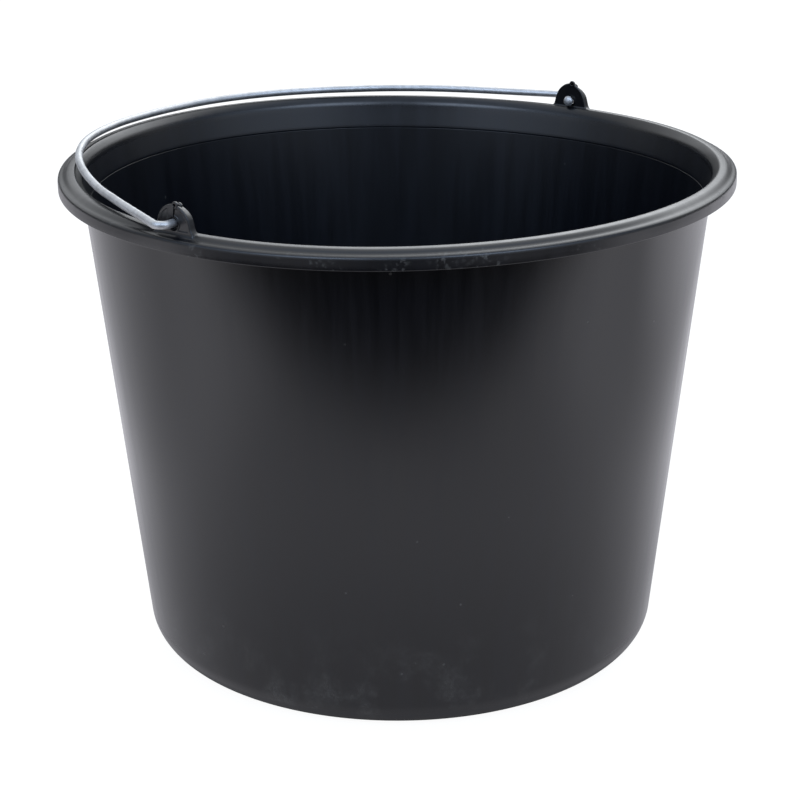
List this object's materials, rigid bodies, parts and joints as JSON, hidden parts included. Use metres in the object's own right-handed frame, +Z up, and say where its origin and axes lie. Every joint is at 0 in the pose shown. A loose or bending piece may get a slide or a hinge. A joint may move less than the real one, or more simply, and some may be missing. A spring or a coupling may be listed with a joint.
{
  "type": "florist bucket",
  "caption": "Round tapered black plastic florist bucket with a rolled rim, moulded ears and a folding steel wire bail.",
  "frame": {"origin": "centre of the base on the ground plane", "axes": "+Z up, +X through one ear along the bail's hinge line, +Y towards the side where the bail lies folded"},
  "size_m": [0.3788, 0.365, 0.2869],
  "materials": {
    "black_plastic": "satin moulded black polyolefin with faint vertical streaks and light scuffs near the base",
    "galvanised_wire": "bright zinc-coated drawn steel wire, lightly dulled"
  },
  "bodies": {
    "bucket": {"bucket_shell": "black_plastic"},
    "bail": {"wire_bail": "galvanised_wire"}
  },
  "joints": [
    {"name": "bail_hinge", "type": "hinge", "parent": "bucket", "child": "bail", "pos_m": [0, 0, 0.2747], "axis": [1, 0, 0], "range_deg": [0, 178.4]}
  ]
}
